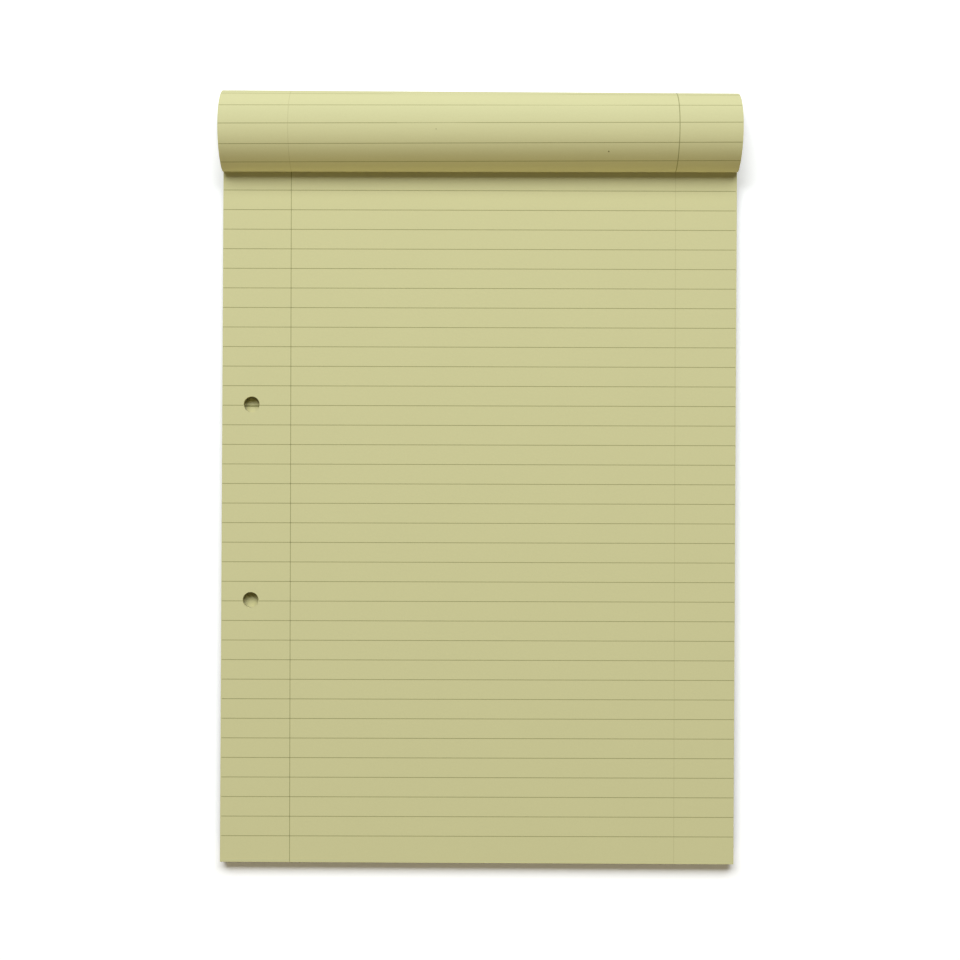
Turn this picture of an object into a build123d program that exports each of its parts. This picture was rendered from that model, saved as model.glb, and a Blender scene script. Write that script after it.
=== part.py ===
from build123d import *
from math import cos, pi, radians, sin
import os

os.makedirs("parts", exist_ok=True)

# Sheet and stack, in millimetres
sheet_width = 210.0
sheet_height = 297.0
leaf_thickness = 0.08
board_thickness = 0.7
tape_thickness = 0.15
tape_leg = 12.0
flat_leaf_count = 28
turned_leaf_count = 22

# Punched holes for filing
hole_radius = 3.25
hole_spacing = 80.0
hole_inset = 12.0
hole_offset = 1.35

# Turned leaves: fold line below the head, then four bends
fold_line = 12.7
fold_radius = 2.0
rise_radius = 10.0
crown_radius = 17.2
rise_angle = 82.0
crown_angle = 60.0
rear_angle = -76.0

# Wire stitches under the tape
stitch_crown = 13.0
stitch_from_head = 6.5
stitch_spacing = 110.0
wire_height = 0.45
wire_width = 0.6
bend_radius = 0.6
clinch_gap = 3.0
stitch_clearance = 0.02

# Printed ruling
line_width = 0.25
rule_spacing = 8.0
line_count = 34
first_line = 22.0
first_line_back = 22.8
margin_front = 28.1
margin_back = 25.4
print_height = 0.05
print_gap = 0.2
fold_bare_share = 0.4
rear_printed_share = 0.7

# Heights of the stack above the table
turned_thickness = turned_leaf_count * leaf_thickness
board_z = turned_thickness + tape_thickness
block_z = board_z + board_thickness
block_thickness = flat_leaf_count * leaf_thickness
page_z = block_z + block_thickness
stub_z = page_z + turned_thickness

half_width = sheet_width / 2
head_y = sheet_height / 2
rise, crown, rear = radians(rise_angle), radians(crown_angle), radians(rear_angle)

# The rear bend takes the radius that brings the leaves down onto the table
rear_radius = (
    page_z
    + fold_radius * (1 + cos(rise))
    + rise_radius * (cos(crown) - cos(rise))
    + crown_radius * (cos(rear) - cos(crown))
) / (1 + cos(rear))

bends = (
    (fold_radius, pi, rise),
    (rise_radius, rise, crown),
    (crown_radius, crown, rear),
    (rear_radius, rear, -pi),
)
# Places along the outer leaf where one bend ends and the next begins
joins = [fold_line]
for radius, start, stop in bends:
    joins.append(joins[-1] + radius * (start - stop))


def place(along, depth):
    """Point in Y and Z at a distance along the outer leaf from the head, at a depth into the bundle."""
    if along <= fold_line:
        return head_y - along, page_z + depth
    y, z = head_y - fold_line, page_z
    left = along - fold_line
    for radius, start, stop in bends:
        heading = max(start - left / radius, stop)
        centre_y, centre_z = y + radius * sin(start), z - radius * cos(start)
        if left <= radius * (start - stop):
            reach = radius - depth
            return centre_y - reach * sin(heading), centre_z + reach * cos(heading)
        y, z = centre_y - radius * sin(stop), centre_z + radius * cos(stop)
        left -= radius * (start - stop)
    return y - left, depth


def course(first, last, depth):
    """Edges of the bundle's face at a depth, from one distance along it to another."""
    stops = [first, *[j for j in joins if first < j < last], last]
    edges = []
    for a, b in zip(stops, stops[1:]):
        straight = b <= joins[0] or a >= joins[-1]
        start, middle, end = place(a, depth), place((a + b) / 2, depth), place(b, depth)
        edges.append(Line(start, end) if straight else ThreePointArc(start, middle, end))
    return edges


def band(first, last, last_inner, outer_depth, inner_depth):
    """Face between two depths of the bundle, on the plane across the pad."""
    outer = course(first, last, outer_depth)
    inner = course(first, last_inner, inner_depth)
    ends = [Line(outer[0] @ 0, inner[0] @ 0), Line(outer[-1] @ 1, inner[-1] @ 1)]
    return Plane.YZ * make_face(outer + inner + ends)


def outline():
    """The sheet's outline with its two punched holes."""
    holes = Pos(hole_inset - half_width, -hole_offset) * GridLocations(0, hole_spacing, 1, 2)
    return Rectangle(sheet_width, sheet_height) - [spot * Circle(hole_radius) for spot in holes]


def stitches(clearance):
    """Both wire stitches: a flat crown, two legs and clinched ends, grown by a clearance."""
    tall = stub_z - board_z
    inner_width = stitch_crown - 2 * wire_height
    inner_tall = tall - 2 * wire_height
    ring = RectangleRounded(
        stitch_crown + 2 * clearance, tall + 2 * clearance, bend_radius + clearance
    )
    ring -= RectangleRounded(
        inner_width - 2 * clearance,
        inner_tall - 2 * clearance,
        bend_radius - wire_height - clearance,
    )
    ring -= Pos(0, -tall / 2) * Rectangle(clinch_gap - 2 * clearance, tall)
    wire = extrude(Plane.XZ * ring, amount=wire_width / 2 + clearance, both=True)
    spots = Pos(0, head_y - stitch_from_head, board_z + tall / 2) * GridLocations(
        stitch_spacing, 0, 2, 1
    )
    return [spot * wire for spot in spots]


stitch_room = stitches(stitch_clearance)

# Leaves still lying flat, and the board under them
page_block = Pos(0, 0, block_z) * extrude(outline(), amount=block_thickness) - stitch_room
backing_board = Pos(0, 0, board_z) * extrude(outline(), amount=board_thickness) - stitch_room

# Leaves turned over the head: one full turn makes the inner leaves reach further
turn_gain = 2 * pi * turned_thickness
turned_leaves = extrude(
    band(0, sheet_height, sheet_height + turn_gain, 0, turned_thickness),
    amount=half_width,
    both=True,
)
punch_lean = Vector(0, -turn_gain, turned_thickness)
hole_middle = head_y + hole_offset
for from_head in (hole_middle - hole_spacing / 2, hole_middle + hole_spacing / 2):
    punch = Pos(hole_inset - half_width, *place(from_head, 0)) * Circle(hole_radius)
    turned_leaves -= Solid.extrude(punch.face(), punch_lean)
turned_leaves -= stitch_room

# Tape round the head, over the stubs and onto the board
tape_tall = stub_z - board_z + 2 * tape_thickness
tape_deep = tape_leg + tape_thickness
wrap = Rectangle(tape_deep, tape_tall)
wrap = fillet(wrap.vertices().sort_by(Axis.X)[-2:], tape_thickness)
wrap -= Pos(-tape_thickness, 0) * Rectangle(tape_deep, tape_tall - 2 * tape_thickness)
tape_spot = Pos(0, head_y + tape_thickness - tape_deep / 2, board_z - tape_thickness + tape_tall / 2)
binding_tape = tape_spot * extrude(Plane.YZ * wrap, amount=half_width, both=True)

wire_stitches = Compound(children=[w.solid() for w in stitches(0)])

# Ruling and margin on the page that lies open
front_limit = fold_line + fold_radius + print_gap
margin_length = sheet_height - front_limit
last_line = first_line + (line_count - 1) * rule_spacing
rules = Pos(0, head_y - (first_line + last_line) / 2) * GridLocations(0, rule_spacing, 1, line_count)
printed = Sketch() + [spot * Rectangle(sheet_width, line_width) for spot in rules]
printed += Pos(margin_front - half_width, margin_length / 2 - head_y) * Rectangle(
    line_width, margin_length
)
page_ruling = Pos(0, 0, page_z) * extrude(printed & outline(), amount=print_height)

# Ruling and margin on the back of the turned leaves, down to where they meet the table
print_start = joins[0] + fold_bare_share * (joins[1] - joins[0])
print_end = joins[-2] + rear_printed_share * (joins[-1] - joins[-2])
turned_ruling = Pos(half_width - margin_back, 0, 0) * extrude(
    band(print_start, print_end, print_end, -print_height, 0), amount=line_width / 2, both=True
)
for number in range(line_count):
    at = first_line_back + number * rule_spacing
    if at + line_width < print_end:
        strip = band(at - line_width / 2, at + line_width / 2, at + line_width / 2, -print_height, 0)
        turned_ruling += extrude(strip, amount=half_width, both=True)

nodes = {
    "page_block": page_block,
    "backing_board": backing_board,
    "turned_leaves": turned_leaves,
    "binding_tape": binding_tape,
    "wire_stitches": wire_stitches,
    "page_ruling": page_ruling,
    "turned_ruling": turned_ruling,
}
for name, node in nodes.items():
    export_step(node, f"parts/{name}.step")
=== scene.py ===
"""Looks of a ruled legal pad whose first leaves are turned back over its head."""

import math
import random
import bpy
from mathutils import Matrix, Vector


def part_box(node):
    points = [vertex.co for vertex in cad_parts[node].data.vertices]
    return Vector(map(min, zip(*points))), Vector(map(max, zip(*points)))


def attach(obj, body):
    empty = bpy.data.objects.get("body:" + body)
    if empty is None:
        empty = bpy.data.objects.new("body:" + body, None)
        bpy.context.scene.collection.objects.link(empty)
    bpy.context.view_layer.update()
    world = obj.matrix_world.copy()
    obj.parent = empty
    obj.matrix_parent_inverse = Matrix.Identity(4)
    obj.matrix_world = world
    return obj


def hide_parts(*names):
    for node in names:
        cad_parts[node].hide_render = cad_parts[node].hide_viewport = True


bl_info = {
    "name": "Legal Pad",
    "version": (1, 0, 0),
    "blender": (4, 5, 0),
    "location": "View3D > Sidebar > Legal Pad",
    "description": "Builds a ruled pad with leaves turned over its head, and a plain stage for it",
    "category": "Object",
}

import bmesh
import bpy
from bpy.props import FloatProperty, FloatVectorProperty, IntProperty, PointerProperty
from mathutils import Matrix, Vector

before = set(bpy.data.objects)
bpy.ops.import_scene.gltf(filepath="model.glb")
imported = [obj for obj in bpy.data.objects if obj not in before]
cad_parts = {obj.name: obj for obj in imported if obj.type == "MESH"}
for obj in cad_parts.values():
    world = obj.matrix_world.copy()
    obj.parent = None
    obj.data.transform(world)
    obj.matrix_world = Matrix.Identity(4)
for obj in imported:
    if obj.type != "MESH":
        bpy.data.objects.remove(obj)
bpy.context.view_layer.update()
PAGE_LOW, PAGE_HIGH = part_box("page_block")
CARD_LOW, CARD_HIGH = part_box("backing_board")
TAPE_LOW, TAPE_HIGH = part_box("binding_tape")
HEAD_Y = PAGE_HIGH.y
PAGE_Z = PAGE_HIGH.z
PAGE_WIDTH = PAGE_HIGH.x - PAGE_LOW.x
PAGE_HEIGHT = PAGE_HIGH.y - PAGE_LOW.y
MM = 0.001

# Flat pieces are first made one unit thick, so that Z tells their face from their back
BACK_DEPTH = 1.0

# How finely round shapes are cut, with the arch's four bends in order from the fold
BEND_STEPS = (16, 6, 48, 28)
HOLE_SEGMENTS = 40
SPECK_SEGMENTS = 9
TAPE_BEND_SEGMENTS = 4
FLOOR_SEGMENTS = 96
CUT_TOLERANCE = 1e-7
SHARP_ANGLE = math.radians(35.0)

# Share of the arch over which the fold's skew passes into the rear's
SKEW_SHARE = 0.9

# Seeds of the leaves' uneven edges
FLAT_SEED = 7
TURNED_SEED = 23

# Height of faint print and of specks, as shares of the ink's
FAINT_SHARE = 0.5
SPECK_SHARE = 0.8

# Specks in the paper of the arch, in millimetres: across, down from the head, radius
SPECKS = ((51.5, 27.4, 0.3), (-17.7, 36.2, 0.17))

# The tape's outer bend and its thickness, as shares of the CAD tape's thickness
TAPE_BEND_SHARE = 1.5
TAPE_THICKNESS_SHARE = 0.98

# Fibres of paper and card: noise scales and details, and depth of the relief
FIBRE_SCALE, FIBRE_DETAIL = 1400, 4
CLOUD_SCALE, CLOUD_DETAIL = 40, 3
RELIEF_DEPTH = 0.04 * MM
MATT_ROUGHNESS = 0.9
MATT_SPECULAR = 0.15
WIRE_ROUGHNESS = 0.35

# Each fibrous finish: strength of the flecks, of the clouds and of the relief
FINISHES = {
    "Leaf paper": (0.05, 0.02, 0.25),
    "Ruling ink": (0.25, 0.05, 0.0),
    "Show-through": (0.05, 0.02, 0.0),
    "Paper speck": (0.2, 0.0, 0.0),
    "Back card": (0.35, 0.12, 0.6),
    "Head tape": (0.2, 0.06, 0.5),
}

# Camera
SENSOR_WIDTH = 36.0
CLIP_START, CLIP_END = 0.01, 50.0


def srgb(red, green, blue):
    """Linear colour of a screen colour given from 0 to 255."""
    values = [channel / 255 for channel in (red, green, blue)]
    return [v / 12.92 if v <= 0.04045 else ((v + 0.055) / 1.055) ** 2.4 for v in values]


def length(label, words, millimetres):
    """Length property, stored in metres."""
    return FloatProperty(
        name=label, description=words, default=millimetres * MM, unit="LENGTH", precision=5
    )


def angle(label, words, degrees):
    """Angle property, stored in radians."""
    return FloatProperty(name=label, description=words, default=math.radians(degrees), subtype="ANGLE")


def number(label, words, value):
    """Plain number property."""
    return FloatProperty(name=label, description=words, default=value)


def count(label, words, value):
    """Whole number property."""
    return IntProperty(name=label, description=words, default=value)


def colour(label, words, red, green, blue):
    """Colour property from a screen colour."""
    return FloatVectorProperty(
        name=label, description=words, default=srgb(red, green, blue), subtype="COLOR", min=0.0, max=1.0
    )


class PadSheets(bpy.types.PropertyGroup):
    """Leaves and holes."""

    leaf_pitch: length("Leaf pitch", "Height that one leaf takes in the stack", 0.08)
    leaf_gap: length("Leaf gap", "Air between two leaves", 0.006)
    flat_count: count("Flat leaves", "Leaves still lying flat", 28)
    turned_count: count("Turned leaves", "Leaves turned over the head", 22)
    hole_radius: length("Hole radius", "Radius of the punched holes", 3.25)
    hole_spacing: length("Hole spacing", "Distance between the two holes", 80.0)
    hole_inset: length("Hole inset", "Distance of the holes from the left edge", 12.0)
    hole_offset: length("Hole offset", "How far the holes lie below the sheet's middle", 1.35)
    edge_spread: length("Edge spread", "How unevenly the leaves' edges lie", 0.12)


class PadArch(bpy.types.PropertyGroup):
    """Path of the turned leaves."""

    fold_line: length("Fold line", "Distance of the fold from the head", 12.7)
    fold_radius: length("Fold radius", "Radius of the fold at its outer leaf", 2.0)
    rise_radius: length("Rise radius", "Radius of the front of the arch", 10.0)
    crown_radius: length("Crown radius", "Radius of the top of the arch", 17.2)
    rise_angle: angle("Rise angle", "Slope at which the leaves leave the fold", 82.0)
    crown_angle: angle("Crown angle", "Slope at which the crown begins", 60.0)
    rear_angle: angle("Rear angle", "Slope at which the rear bend begins", -76.0)
    fold_skew: angle("Fold skew", "How far the fold is out of square with the pad", 0.23)
    rear_skew: angle("Rear skew", "How far the back of the arch is out of square", 0.07)


class PadRuling(bpy.types.PropertyGroup):
    """Printed lines."""

    line_width: length("Line width", "Width of a printed line", 0.25)
    back_width: length("Back margin width", "Width of the margin line on the arch", 0.32)
    hole_width: length("Hole rule width", "Width of the rule under the upper hole", 0.7)
    spacing: length("Line spacing", "Distance between two rules", 8.0)
    first_line: length("First line", "First rule of a page, from the head", 22.0)
    first_back: length("First line of the back", "First rule of a leaf's back, from the head", 22.8)
    line_count: count("Line count", "Rules on a page", 34)
    margin_front: length("Front margin", "Margin line from the left edge of the page", 28.1)
    margin_back: length("Back margin", "Margin line of a leaf's back from its right edge", 25.4)
    margin_seen: length("Seen-through margin", "Back margin seen through the page, from the right", 24.8)
    floor_line: length("Rule in the hole", "Rule under the upper hole, from the head", 110.4)
    edge_inset: length("Edge inset", "Bare rim between the print and a sheet's edge", 0.15)
    page_bare: length("Bare page", "Bare strip of the open page below the fold", 0.4)
    back_bare: length("Bare back", "Bare strip of the turned leaf beyond the fold", 0.5)
    ink_height: length("Ink height", "Thickness of the print", 0.012)
    page_skew: angle("Page skew", "How far the open page's print is out of square", 0.14)
    back_skew: angle("Back skew", "How far the print on the arch is out of square", 0.32)


class PadColours(bpy.types.PropertyGroup):
    """Colours of the pad and of the table."""

    paper: colour("Paper", "Yellow leaf", 204, 200, 150)
    ink: colour("Ink", "Printed lines", 150, 147, 100)
    show_through: colour("Show-through", "Print of the other side seen through a leaf", 192, 187, 138)
    speck: colour("Speck", "Dark specks in the paper", 96, 88, 50)
    card: colour("Card", "Backing card", 141, 128, 108)
    tape: colour("Tape", "Binding tape", 112, 90, 66)
    wire: colour("Wire", "Steel wire stitches", 176, 176, 174)
    floor: colour("Floor", "Table that throws light back at the pad", 120, 120, 120)


class PadStage(bpy.types.PropertyGroup):
    """Camera, lights and table."""

    camera_height: length("Camera height", "Camera above the open page", 585.0)
    camera_x: length("Camera across", "Camera to the right of the pad's middle", 0.55)
    camera_y: length("Camera along", "Camera towards the head from the pad's middle", 8.2)
    camera_roll: angle("Camera roll", "Turn of the camera about its view", 0.3)
    lens: number("Lens", "Focal length in millimetres", 53.65)
    lamp_distance: length("Lamp distance", "Distance of both lamps from the pad", 2000.0)
    key_power: number("Key power", "Soft light beyond the head, in watts", 59.4)
    key_rise: angle("Key rise", "Height of the key above the table, as an angle", 46.5)
    key_turn: angle("Key turn", "Turn of the key to the left of the pad's length", 5.0)
    key_width: length("Key width", "Width of the key", 2400.0)
    key_depth: length("Key depth", "Depth of the key", 1000.0)
    key_colour: colour("Key colour", "Colour of the key", 247, 251, 255)
    fill_power: number("Fill power", "Soft light before the foot, in watts", 18.5)
    fill_rise: angle("Fill rise", "Height of the fill above the table, as an angle", 19.0)
    fill_width: length("Fill width", "Width of the fill", 1600.0)
    fill_depth: length("Fill depth", "Depth of the fill", 600.0)
    fill_colour: colour("Fill colour", "Colour of the fill", 255, 240, 202)
    sky: number("Sky", "Strength of the light from all round", 0.02)
    floor_gain: number("Floor gain", "Brightness of the floor to the camera", 1.22)
    floor_radius: length("Floor radius", "Radius of the round table top", 360.0)
    floor_drop: length("Floor drop", "Gap between the table and the pad", 0.05)


class PadSettings(bpy.types.PropertyGroup):
    """All settings of the pad."""

    sheets: PointerProperty(type=PadSheets)
    arch: PointerProperty(type=PadArch)
    ruling: PointerProperty(type=PadRuling)
    colours: PointerProperty(type=PadColours)
    stage: PointerProperty(type=PadStage)


class LeafPath:
    """Way of one turned leaf from the head, over the arch and under the pad, at a depth into the bundle."""

    def __init__(self, arch, depth):
        rise, crown, rear = arch.rise_angle, arch.crown_angle, arch.rear_angle
        drop = (
            PAGE_Z
            + arch.fold_radius * (1 + math.cos(rise))
            + arch.rise_radius * (math.cos(crown) - math.cos(rise))
            + arch.crown_radius * (math.cos(rear) - math.cos(crown))
        )
        rear_radius = drop / (1 + math.cos(rear))
        self.depth = depth
        self.fold_line = arch.fold_line
        self.fold_lean = math.tan(arch.fold_skew)
        self.rear_lean = math.tan(arch.rear_skew)
        self.bends = [
            (arch.fold_radius - depth, math.pi, rise),
            (arch.rise_radius - depth, rise, crown),
            (arch.crown_radius - depth, crown, rear),
            (rear_radius - depth, rear, -math.pi),
        ]
        self.bent = sum(radius * (start - stop) for radius, start, stop in self.bends)

    def stations(self):
        """Distances from the head at which a flat sheet is cut across, so that it can bend."""
        along = self.fold_line
        places = [along]
        for (radius, start, stop), steps in zip(self.bends, BEND_STEPS):
            step = radius * (start - stop) / steps
            places += [along + step * (index + 1) for index in range(steps)]
            along += step * steps
        return places

    def at(self, x, along, lift):
        """Point of the leaf at a distance from the head, moved out of the leaf's face by a lift."""
        y, z = HEAD_Y - self.fold_line, PAGE_Z + self.depth
        left = along - self.fold_line
        if left <= 0:
            y, z = HEAD_Y - along, PAGE_Z + self.depth - lift
        else:
            for radius, start, stop in self.bends:
                centre_y, centre_z = y + radius * math.sin(start), z - radius * math.cos(start)
                heading = max(start - left / radius, stop)
                inside = left <= radius * (start - stop)
                reach = radius + lift if inside else radius
                y, z = centre_y - reach * math.sin(heading), centre_z + reach * math.cos(heading)
                if inside:
                    break
                left -= radius * (start - stop)
            else:
                y, z = y - left, self.depth - lift
        begun = min(max(along / self.fold_line, 0.0), 1.0)
        turned = min(max((along - self.fold_line) / (SKEW_SHARE * self.bent), 0.0), 1.0)
        turned = turned * turned * (3 - 2 * turned)
        front = x * self.fold_lean * begun * (1 - turned)
        back = (x - PAGE_LOW.x) * self.rear_lean * turned
        return Vector((x, y + front - back, z))


def hole_spots(sheets):
    """Places of the two holes on a flat sheet, across and down from the head."""
    x = PAGE_LOW.x + sheets.hole_inset
    middle = PAGE_HEIGHT / 2 + sheets.hole_offset
    return [(x, middle - sheets.hole_spacing / 2), (x, middle + sheets.hole_spacing / 2)]


def cut_across(bm, stations):
    """Cuts a flat piece across at each distance from the head."""
    for along in stations:
        bmesh.ops.bisect_plane(
            bm,
            geom=bm.verts[:] + bm.edges[:] + bm.faces[:],
            dist=CUT_TOLERANCE,
            plane_co=(0, along, 0),
            plane_no=(0, 1, 0),
        )


def add_sheet(bm, width, height, spots, radius, stations=()):
    """Adds one flat sheet to a bmesh, X across and Y down from the head, punched and cut for bending."""
    half = width / 2
    top = [bm.verts.new((-half, 0, 0)), bm.verts.new((half, 0, 0))]
    foot = [bm.verts.new((half, height, 0)), bm.verts.new((-half, height, 0))]
    middle = top
    if stations:
        bend_end = stations[-1]
        middle = [bm.verts.new((-half, bend_end, 0)), bm.verts.new((half, bend_end, 0))]
        bm.faces.new((top[0], top[1], middle[1], middle[0]))
    ring = [middle[0], middle[1], foot[0], foot[1]]
    edges = []
    for first, second in zip(ring, ring[1:] + ring[:1]):
        edges.append(bm.edges.get((first, second)) or bm.edges.new((first, second)))
    for x, along in spots:
        circle = bmesh.ops.create_circle(
            bm,
            cap_ends=False,
            segments=HOLE_SEGMENTS,
            radius=radius,
            matrix=Matrix.Translation((x, along, 0)),
        )
        edges += list({edge for vert in circle["verts"] for edge in vert.link_edges})
    bmesh.ops.triangle_fill(bm, use_beauty=True, use_dissolve=False, edges=edges, normal=(0, 0, 1))
    cut_across(bm, stations[:-1])
    bmesh.ops.recalc_face_normals(bm, faces=bm.faces[:])


def add_strip(bm, x0, x1, along0, along1):
    """Adds one flat strip of print."""
    corners = [(x0, along0), (x1, along0), (x1, along1), (x0, along1)]
    return bm.faces.new([bm.verts.new((x, along, 0)) for x, along in corners])


def rule_runs(along, sheets, inset, clearance):
    """Stretches of one rule across the sheet, parted where a hole is punched."""
    left, right = PAGE_LOW.x + inset, PAGE_HIGH.x - inset
    for x, place in hole_spots(sheets):
        if abs(along - place) < sheets.hole_radius:
            reach = math.sqrt(sheets.hole_radius**2 - (along - place) ** 2) + clearance
            return [(left, x - reach), (x + reach, right)]
    return [(left, right)]


def thicken(bm):
    """Gives flat faces a back below them."""
    bm.normal_update()
    for face in bm.faces:
        if face.normal.z < 0:
            face.normal_flip()
    bm.normal_update()
    bmesh.ops.solidify(bm, geom=bm.faces[:], thickness=BACK_DEPTH)


def on_face(z):
    """Tells the face of a thickened piece from its back."""
    return z > -BACK_DEPTH / 2


def lay_flat(bm, head, top, bottom, shift=0.0):
    """Puts a thickened piece in its place, with its face and back at two heights."""
    for vert in bm.verts:
        x, along, z = vert.co
        vert.co = (x + shift, head - along, top if on_face(z) else bottom)


def lay_along(bm, path, face_lift, back_lift, shift=0.0):
    """Bends a thickened piece along a leaf's way, with its face and back lifted off it."""
    for vert in bm.verts:
        x, along, z = vert.co
        vert.co = path.at(x + shift, along, face_lift if on_face(z) else back_lift)


def gather(target, source):
    """Adds one bmesh to another."""
    mesh = bpy.data.meshes.new("part")
    source.to_mesh(mesh)
    source.free()
    target.from_mesh(mesh)
    bpy.data.meshes.remove(mesh)


def finish_piece(bm, name, material, node):
    """Makes an object from a bmesh, and puts it in the place of a CAD node if one is given."""
    bmesh.ops.recalc_face_normals(bm, faces=bm.faces[:])
    bm.normal_update()
    for face in bm.faces:
        face.smooth = True
    for edge in bm.edges:
        edge.smooth = len(edge.link_faces) == 2 and edge.calc_face_angle(0.0) < SHARP_ANGLE
    mesh = bpy.data.meshes.new(name)
    bm.to_mesh(mesh)
    bm.free()
    mesh.materials.append(material)
    piece = bpy.data.objects.new(name, mesh)
    bpy.context.collection.objects.link(piece)
    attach(piece, "root")
    if node:
        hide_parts(node)


def add_socket(group, name, way, kind, default=None):
    """Adds one socket to a node group."""
    socket = group.interface.new_socket(name=name, in_out=way, socket_type=kind)
    if default is not None:
        socket.default_value = default


def fibre_group():
    """Node group that varies a colour with cloudy tone and fine fibres, and gives their height."""
    if "Paper fibre" in bpy.data.node_groups:
        return bpy.data.node_groups["Paper fibre"]
    group = bpy.data.node_groups.new("Paper fibre", "ShaderNodeTree")
    add_socket(group, "Vector", "INPUT", "NodeSocketVector")
    add_socket(group, "Colour", "INPUT", "NodeSocketColor", (0.8, 0.8, 0.8, 1.0))
    add_socket(group, "Fleck", "INPUT", "NodeSocketFloat", 0.05)
    add_socket(group, "Cloud", "INPUT", "NodeSocketFloat", 0.02)
    add_socket(group, "Colour", "OUTPUT", "NodeSocketColor")
    add_socket(group, "Height", "OUTPUT", "NodeSocketFloat")
    nodes, links = group.nodes, group.links
    entry = nodes.new("NodeGroupInput")
    leave = nodes.new("NodeGroupOutput")
    fine = nodes.new("ShaderNodeTexNoise")
    fine.inputs["Scale"].default_value = FIBRE_SCALE
    fine.inputs["Detail"].default_value = FIBRE_DETAIL
    broad = nodes.new("ShaderNodeTexNoise")
    broad.inputs["Scale"].default_value = CLOUD_SCALE
    broad.inputs["Detail"].default_value = CLOUD_DETAIL
    links.new(entry.outputs["Vector"], fine.inputs["Vector"])
    links.new(entry.outputs["Vector"], broad.inputs["Vector"])
    tones = []
    for noise, strength in ((fine, "Fleck"), (broad, "Cloud")):
        centre = nodes.new("ShaderNodeMath")
        centre.operation = "SUBTRACT"
        centre.inputs[1].default_value = 0.5
        links.new(noise.outputs["Fac"], centre.inputs[0])
        tone = nodes.new("ShaderNodeMath")
        tone.operation = "MULTIPLY_ADD"
        tone.inputs[2].default_value = 1.0
        links.new(centre.outputs[0], tone.inputs[0])
        links.new(entry.outputs[strength], tone.inputs[1])
        tones.append(tone)
    both = nodes.new("ShaderNodeMath")
    both.operation = "MULTIPLY"
    links.new(tones[0].outputs[0], both.inputs[0])
    links.new(tones[1].outputs[0], both.inputs[1])
    shade = nodes.new("ShaderNodeHueSaturation")
    links.new(both.outputs[0], shade.inputs["Value"])
    links.new(entry.outputs["Colour"], shade.inputs["Color"])
    links.new(shade.outputs["Color"], leave.inputs["Colour"])
    links.new(fine.outputs["Fac"], leave.inputs["Height"])
    return group


def fibre_material(name, tint):
    """Matt fibrous material with the finish of that name, made once."""
    if name in bpy.data.materials:
        return bpy.data.materials[name]
    fleck, cloud, relief = FINISHES[name]
    material = bpy.data.materials.new(name)
    material.use_nodes = True
    material.diffuse_color = (*tint, 1.0)
    nodes, links = material.node_tree.nodes, material.node_tree.links
    shader = nodes["Principled BSDF"]
    shader.inputs["Roughness"].default_value = MATT_ROUGHNESS
    shader.inputs["Specular IOR Level"].default_value = MATT_SPECULAR
    place = nodes.new("ShaderNodeTexCoord")
    fibre = nodes.new("ShaderNodeGroup")
    fibre.node_tree = fibre_group()
    fibre.inputs["Colour"].default_value = (*tint, 1.0)
    fibre.inputs["Fleck"].default_value = fleck
    fibre.inputs["Cloud"].default_value = cloud
    links.new(place.outputs["Object"], fibre.inputs["Vector"])
    links.new(fibre.outputs["Colour"], shader.inputs["Base Color"])
    if relief:
        bump = nodes.new("ShaderNodeBump")
        bump.inputs["Strength"].default_value = relief
        bump.inputs["Distance"].default_value = RELIEF_DEPTH
        links.new(fibre.outputs["Height"], bump.inputs["Height"])
        links.new(bump.outputs["Normal"], shader.inputs["Normal"])
    return material


class LEGALPAD_OT_flat_leaves(bpy.types.Operator):
    """Builds the leaves that still lie flat"""

    bl_idname = "legalpad.flat_leaves"
    bl_label = "Flat leaves"

    def execute(self, context):
        pad = context.scene.legal_pad
        sheets = pad.sheets
        spread = random.Random(FLAT_SEED)
        thickness = sheets.leaf_pitch - sheets.leaf_gap
        stack = bmesh.new()
        for index in range(sheets.flat_count):
            trim = sheets.edge_spread * spread.random()
            side = sheets.edge_spread * (spread.random() - 0.5)
            shift = max(min(side, trim), -trim) / 2
            short = sheets.edge_spread * spread.random()
            spots = [(x - shift, along) for x, along in hole_spots(sheets)]
            top = PAGE_Z - index * sheets.leaf_pitch
            leaf = bmesh.new()
            add_sheet(leaf, PAGE_WIDTH - trim, PAGE_HEIGHT - short, spots, sheets.hole_radius)
            thicken(leaf)
            lay_flat(leaf, HEAD_Y, top, top - thickness, shift)
            gather(stack, leaf)
        paper = fibre_material("Leaf paper", pad.colours.paper)
        finish_piece(stack, "flat_leaves", paper, "page_block")
        return {"FINISHED"}


class LEGALPAD_OT_turned_leaves(bpy.types.Operator):
    """Builds the leaves that are turned over the head and tucked under the pad"""

    bl_idname = "legalpad.turned_leaves"
    bl_label = "Turned leaves"

    def execute(self, context):
        pad = context.scene.legal_pad
        sheets = pad.sheets
        spread = random.Random(TURNED_SEED)
        thickness = sheets.leaf_pitch - sheets.leaf_gap
        bundle = bmesh.new()
        for index in range(sheets.turned_count):
            outermost = index == 0
            skin = pad.ruling.ink_height if outermost else 0.0
            path = LeafPath(pad.arch, index * sheets.leaf_pitch + (skin + thickness) / 2)
            trim = 0.0 if outermost else sheets.edge_spread * spread.random()
            shift = trim * (2 * spread.random() - 1) / 2
            spots = [(x - shift, along) for x, along in hole_spots(sheets)]
            half = (thickness - skin) / 2
            leaf = bmesh.new()
            add_sheet(leaf, PAGE_WIDTH - trim, PAGE_HEIGHT, spots, sheets.hole_radius, path.stations())
            thicken(leaf)
            lay_along(leaf, path, half, -half, shift)
            gather(bundle, leaf)
        paper = fibre_material("Leaf paper", pad.colours.paper)
        finish_piece(bundle, "turned_leaves_bundle", paper, "turned_leaves")
        return {"FINISHED"}


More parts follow.
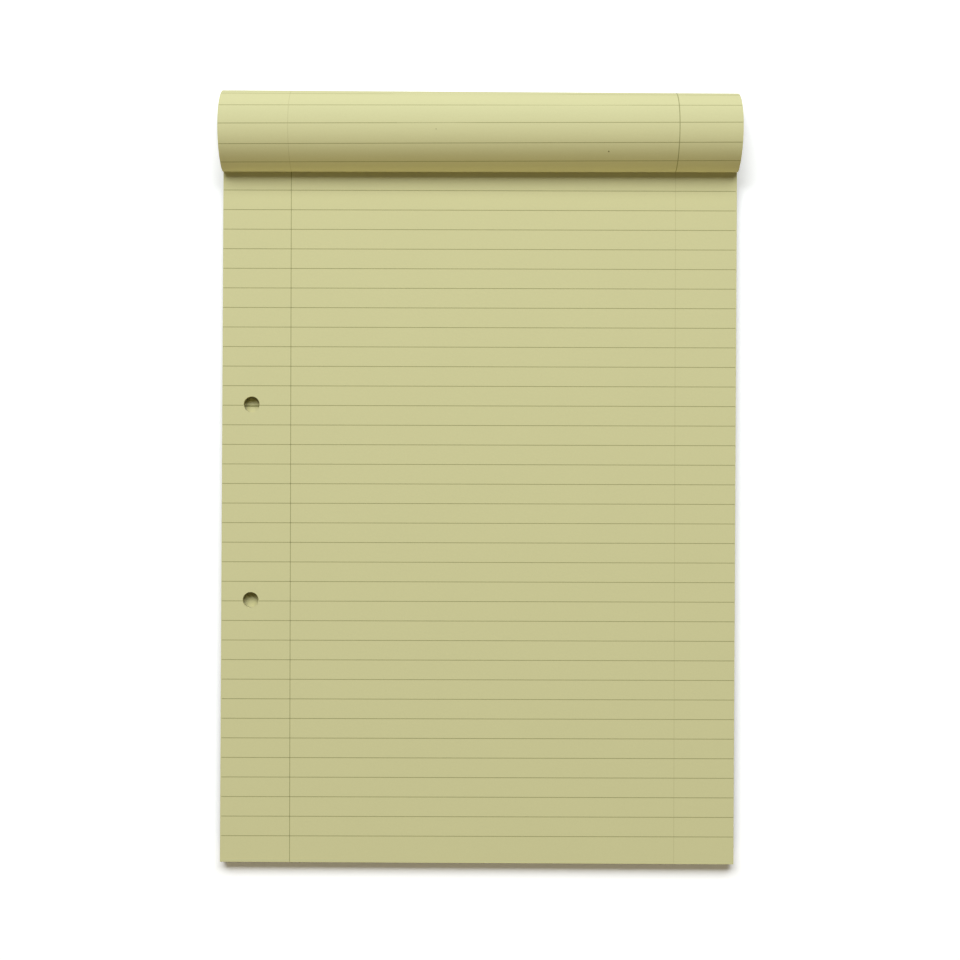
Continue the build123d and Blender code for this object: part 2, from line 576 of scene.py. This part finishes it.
class LEGALPAD_OT_page_print(bpy.types.Operator):
    """Prints the ruling, the margin and the faint show-through on the open page"""

    bl_idname = "legalpad.page_print"
    bl_label = "Page print"

    def execute(self, context):
        pad = context.scene.legal_pad
        ruling = pad.ruling
        half = ruling.line_width / 2
        margin = PAGE_LOW.x + ruling.margin_front
        ghost = PAGE_HIGH.x - ruling.margin_seen
        start = pad.arch.fold_line + ruling.page_bare
        end = PAGE_HEIGHT - ruling.edge_inset
        printed, faint = bmesh.new(), bmesh.new()
        for index in range(ruling.line_count):
            along = ruling.first_line + index * ruling.spacing
            for x0, x1 in rule_runs(along, pad.sheets, ruling.edge_inset, 0.0):
                add_strip(printed, x0, x1, along - half, along + half)
        add_strip(printed, margin - half, margin + half, start, end)
        add_strip(faint, ghost - half, ghost + half, start, end)
        for bm, share in ((printed, 1.0), (faint, FAINT_SHARE)):
            thicken(bm)
            self.lay_skewed(bm, ruling, ruling.ink_height * share)
        ink = fibre_material("Ruling ink", pad.colours.ink)
        pale = fibre_material("Show-through", pad.colours.show_through)
        finish_piece(printed, "page_print", ink, "page_ruling")
        finish_piece(faint, "page_show_through", pale, None)
        return {"FINISHED"}

    def lay_skewed(self, bm, ruling, height):
        """Lays print on the open page, a little out of square and kept inside the sheet's edges."""
        lean = math.tan(ruling.page_skew)
        left, right = PAGE_LOW.x + ruling.edge_inset, PAGE_HIGH.x - ruling.edge_inset
        foot = PAGE_LOW.y + ruling.edge_inset
        for vert in bm.verts:
            x, along, z = vert.co
            y = HEAD_Y - along
            across = min(max(x - y * lean, left), right)
            vert.co = (across, max(y + x * lean, foot), PAGE_Z + height if on_face(z) else PAGE_Z)


class LEGALPAD_OT_turned_print(bpy.types.Operator):
    """Prints the ruling, the margin and the specks on the back of the turned leaves"""

    bl_idname = "legalpad.turned_print"
    bl_label = "Turned print"

    def execute(self, context):
        pad = context.scene.legal_pad
        ruling = pad.ruling
        path = LeafPath(pad.arch, ruling.ink_height)
        margin = PAGE_HIGH.x - ruling.margin_back
        ghost = PAGE_LOW.x + ruling.margin_front
        printed, faint, specks = bmesh.new(), bmesh.new(), bmesh.new()
        self.add_rules(printed, ruling, pad.sheets)
        self.add_margin(printed, ruling, path, margin, ruling.back_width / 2)
        self.add_margin(faint, ruling, path, ghost, ruling.line_width / 2)
        for x, along, radius in SPECKS:
            bmesh.ops.create_circle(
                specks,
                cap_ends=True,
                segments=SPECK_SEGMENTS,
                radius=radius * MM,
                matrix=Matrix.Translation((x * MM, along * MM, 0)),
            )
        for bm, share in ((printed, 1.0), (faint, FAINT_SHARE), (specks, SPECK_SHARE)):
            thicken(bm)
            lay_along(bm, path, ruling.ink_height * share, 0.0)
        gather(printed, self.rule_in_hole(ruling, pad.sheets))
        ink = fibre_material("Ruling ink", pad.colours.ink)
        pale = fibre_material("Show-through", pad.colours.show_through)
        dark = fibre_material("Paper speck", pad.colours.speck)
        finish_piece(printed, "turned_print", ink, "turned_ruling")
        finish_piece(faint, "turned_show_through", pale, None)
        finish_piece(specks, "paper_specks", dark, None)
        return {"FINISHED"}

    def add_rules(self, bm, ruling, sheets):
        """Adds the rules of a leaf's back, a little out of square."""
        half = ruling.line_width / 2
        lean = math.tan(ruling.back_skew)
        for index in range(ruling.line_count):
            along = ruling.first_back + index * ruling.spacing
            for x0, x1 in rule_runs(along, sheets, ruling.edge_inset, ruling.edge_inset):
                for vert in add_strip(bm, x0, x1, along - half, along + half).verts:
                    vert.co.y += vert.co.x * lean

    def add_margin(self, bm, ruling, path, x, reach):
        """Adds one margin line that follows the leaf over the arch to its foot."""
        strip = bmesh.new()
        start = path.fold_line + ruling.back_bare
        add_strip(strip, x - reach, x + reach, start, PAGE_HEIGHT - ruling.edge_inset)
        cut_across(strip, path.stations())
        gather(bm, strip)

    def rule_in_hole(self, ruling, sheets):
        """Rule on the innermost turned leaf, which shows in the upper hole."""
        under = bmesh.new()
        reach = ruling.hole_width / 2
        left, right = PAGE_LOW.x + ruling.edge_inset, PAGE_HIGH.x - ruling.edge_inset
        add_strip(under, left, right, ruling.floor_line - reach, ruling.floor_line + reach)
        thicken(under)
        top = sheets.turned_count * sheets.leaf_pitch
        lay_flat(under, HEAD_Y, top, top - sheets.leaf_gap)
        return under


class LEGALPAD_OT_back_card(bpy.types.Operator):
    """Builds the backing card"""

    bl_idname = "legalpad.back_card"
    bl_label = "Backing card"

    def execute(self, context):
        pad = context.scene.legal_pad
        width = CARD_HIGH.x - CARD_LOW.x
        height = CARD_HIGH.y - CARD_LOW.y
        card = bmesh.new()
        add_sheet(card, width, height, hole_spots(pad.sheets), pad.sheets.hole_radius)
        thicken(card)
        lay_flat(card, CARD_HIGH.y, CARD_HIGH.z, CARD_LOW.z)
        board = fibre_material("Back card", pad.colours.card)
        finish_piece(card, "back_card", board, "backing_board")
        return {"FINISHED"}


class LEGALPAD_OT_head_tape(bpy.types.Operator):
    """Builds the tape round the head"""

    bl_idname = "legalpad.head_tape"
    bl_label = "Head tape"

    def execute(self, context):
        pad = context.scene.legal_pad
        thickness = TAPE_HIGH.y - HEAD_Y
        low, high = TAPE_LOW.z, TAPE_HIGH.z
        corners = [(TAPE_LOW.y, high), (TAPE_HIGH.y, high), (TAPE_HIGH.y, low), (TAPE_LOW.y, low)]
        tape = bmesh.new()
        verts = [tape.verts.new((TAPE_LOW.x, y, z)) for y, z in corners]
        edges = [tape.edges.new(pair) for pair in zip(verts, verts[1:])]
        grown = bmesh.ops.extrude_edge_only(tape, edges=edges)["geom"]
        moved = [item for item in grown if isinstance(item, bmesh.types.BMVert)]
        bmesh.ops.translate(tape, verts=moved, vec=(TAPE_HIGH.x - TAPE_LOW.x, 0, 0))
        bends = [edge for edge in tape.edges if len(edge.link_faces) == 2]
        bmesh.ops.bevel(
            tape,
            geom=bends,
            offset=TAPE_BEND_SHARE * thickness,
            offset_type="OFFSET",
            affect="EDGES",
            segments=TAPE_BEND_SEGMENTS,
            profile=0.5,
            material=-1,
        )
        bmesh.ops.recalc_face_normals(tape, faces=tape.faces[:])
        top = max(tape.faces, key=lambda face: face.calc_center_median().z)
        if top.normal.z < 0:
            bmesh.ops.reverse_faces(tape, faces=tape.faces[:])
        bmesh.ops.solidify(tape, geom=tape.faces[:], thickness=TAPE_THICKNESS_SHARE * thickness)
        brown_paper = fibre_material("Head tape", pad.colours.tape)
        finish_piece(tape, "head_tape", brown_paper, "binding_tape")
        return {"FINISHED"}


class LEGALPAD_OT_wire_finish(bpy.types.Operator):
    """Gives the wire stitches their steel"""

    bl_idname = "legalpad.wire_finish"
    bl_label = "Wire stitches"

    def execute(self, context):
        pad = context.scene.legal_pad
        steel = bpy.data.materials.new("Stitch wire")
        steel.use_nodes = True
        shader = steel.node_tree.nodes["Principled BSDF"]
        shader.inputs["Base Color"].default_value = (*pad.colours.wire, 1.0)
        shader.inputs["Metallic"].default_value = 1.0
        shader.inputs["Roughness"].default_value = WIRE_ROUGHNESS
        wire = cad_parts["wire_stitches"]
        wire.data.materials.clear()
        wire.data.materials.append(steel)
        return {"FINISHED"}


def light_path_mask(tree):
    """Output that is one where the camera, a reflection or glass looks at a surface."""
    nodes, links = tree.nodes, tree.links
    path = nodes.new("ShaderNodeLightPath")
    mask = path.outputs["Is Camera Ray"]
    for name in ("Is Glossy Ray", "Is Transmission Ray"):
        either = nodes.new("ShaderNodeMath")
        either.operation = "MAXIMUM"
        links.new(mask, either.inputs[0])
        links.new(path.outputs[name], either.inputs[1])
        mask = either.outputs[0]
    return mask


class LEGALPAD_OT_stage(bpy.types.Operator):
    """Sets the floor, the lights and the camera"""

    bl_idname = "legalpad.stage"
    bl_label = "Stage"

    def execute(self, context):
        scene = context.scene
        stage = scene.legal_pad.stage
        scene.view_settings.view_transform = "Standard"
        self.make_floor(stage, scene.legal_pad.colours)
        self.make_sky(scene, stage)
        self.make_lights(stage)
        self.make_camera(scene, stage)
        return {"FINISHED"}

    def make_floor(self, stage, colours):
        """Round table top, white to the camera but grey to the pad, that keeps the pad's shadow."""
        bm = bmesh.new()
        bmesh.ops.create_circle(bm, cap_ends=True, segments=FLOOR_SEGMENTS, radius=stage.floor_radius)
        bmesh.ops.translate(bm, verts=bm.verts[:], vec=(0, 0, -stage.floor_drop))
        mesh = bpy.data.meshes.new("floor")
        bm.to_mesh(mesh)
        bm.free()
        floor = bpy.data.objects.new("floor", mesh)
        bpy.context.collection.objects.link(floor)
        material = bpy.data.materials.new("Table")
        material.use_nodes = True
        tree = material.node_tree
        tree.nodes.clear()
        leave = tree.nodes.new("ShaderNodeOutputMaterial")
        matt = tree.nodes.new("ShaderNodeBsdfDiffuse")
        seen = tree.nodes.new("ShaderNodeMix")
        seen.data_type = "RGBA"
        seen.inputs["A"].default_value = (*colours.floor, 1.0)
        seen.inputs["B"].default_value = (stage.floor_gain, stage.floor_gain, stage.floor_gain, 1.0)
        tree.links.new(light_path_mask(tree), seen.inputs["Factor"])
        tree.links.new(seen.outputs["Result"], matt.inputs["Color"])
        tree.links.new(matt.outputs[0], leave.inputs["Surface"])
        mesh.materials.append(material)

    def make_sky(self, scene, stage):
        """Even light from all round, white where it is looked at."""
        world = bpy.data.worlds.new("Studio")
        scene.world = world
        world.use_nodes = True
        tree = world.node_tree
        tree.nodes.clear()
        leave = tree.nodes.new("ShaderNodeOutputWorld")
        glow = tree.nodes.new("ShaderNodeBackground")
        glow.inputs["Color"].default_value = (1.0, 1.0, 1.0, 1.0)
        seen = tree.nodes.new("ShaderNodeMix")
        seen.inputs["A"].default_value = stage.sky
        seen.inputs["B"].default_value = 1.0
        tree.links.new(light_path_mask(tree), seen.inputs["Factor"])
        tree.links.new(seen.outputs["Result"], glow.inputs["Strength"])
        tree.links.new(glow.outputs[0], leave.inputs["Surface"])

    def make_lights(self, stage):
        """Key from beyond the head and fill from before the foot."""
        turn, rise = stage.key_turn, stage.key_rise
        away = Vector((-math.sin(turn) * math.cos(rise), math.cos(turn) * math.cos(rise), math.sin(rise)))
        size = (stage.key_width, stage.key_depth)
        self.make_lamp("Key", away * stage.lamp_distance, size, stage.key_power, stage.key_colour)
        away = Vector((0.0, -math.cos(stage.fill_rise), math.sin(stage.fill_rise)))
        size = (stage.fill_width, stage.fill_depth)
        self.make_lamp("Fill", away * stage.lamp_distance, size, stage.fill_power, stage.fill_colour)

    def make_lamp(self, name, place, size, power, tint):
        """Large soft lamp that points at the pad."""
        lamp = bpy.data.lights.new(name, "AREA")
        lamp.shape = "RECTANGLE"
        lamp.size, lamp.size_y = size
        lamp.energy = power
        lamp.color = tint
        light = bpy.data.objects.new(name, lamp)
        light.location = place
        light.rotation_euler = (-place).to_track_quat("-Z", "Y").to_euler()
        bpy.context.collection.objects.link(light)

    def make_camera(self, scene, stage):
        """Camera that looks straight down on the pad."""
        camera = bpy.data.cameras.new("Camera")
        camera.lens = stage.lens
        camera.sensor_width = SENSOR_WIDTH
        camera.clip_start = CLIP_START
        camera.clip_end = CLIP_END
        eye = bpy.data.objects.new("Camera", camera)
        eye.location = (stage.camera_x, stage.camera_y, PAGE_Z + stage.camera_height)
        eye.rotation_euler = (0.0, 0.0, stage.camera_roll)
        bpy.context.collection.objects.link(eye)
        scene.camera = eye


class LEGALPAD_PT_panel(bpy.types.Panel):
    """Lists the pad's pieces and settings"""

    bl_label = "Legal Pad"
    bl_idname = "LEGALPAD_PT_panel"
    bl_space_type = "VIEW_3D"
    bl_region_type = "UI"
    bl_category = "Legal Pad"

    def draw(self, context):
        for operator in OPERATORS:
            self.layout.operator(operator.bl_idname)
        pad = context.scene.legal_pad
        for group in (pad.sheets, pad.arch, pad.ruling, pad.colours, pad.stage):
            column = self.layout.column(align=True)
            for name in group.__annotations__:
                column.prop(group, name)


OPERATORS = (
    LEGALPAD_OT_flat_leaves,
    LEGALPAD_OT_turned_leaves,
    LEGALPAD_OT_page_print,
    LEGALPAD_OT_turned_print,
    LEGALPAD_OT_back_card,
    LEGALPAD_OT_head_tape,
    LEGALPAD_OT_wire_finish,
    LEGALPAD_OT_stage,
)
GROUPS = (PadSheets, PadArch, PadRuling, PadColours, PadStage, PadSettings)
CLASSES = (*GROUPS, *OPERATORS, LEGALPAD_PT_panel)


def register():
    """Registers the classes and hangs the settings on the scene."""
    for each in CLASSES:
        bpy.utils.register_class(each)
    bpy.types.Scene.legal_pad = PointerProperty(type=PadSettings)


def unregister():
    """Takes the settings and the classes away again."""
    del bpy.types.Scene.legal_pad
    for each in reversed(CLASSES):
        bpy.utils.unregister_class(each)


def main():
    """Builds the pad and its stage."""
    register()
    bpy.ops.legalpad.flat_leaves()
    bpy.ops.legalpad.turned_leaves()
    bpy.ops.legalpad.page_print()
    bpy.ops.legalpad.turned_print()
    bpy.ops.legalpad.back_card()
    bpy.ops.legalpad.head_tape()
    bpy.ops.legalpad.wire_finish()
    bpy.ops.legalpad.stage()


if __name__ == "__main__":
    main()
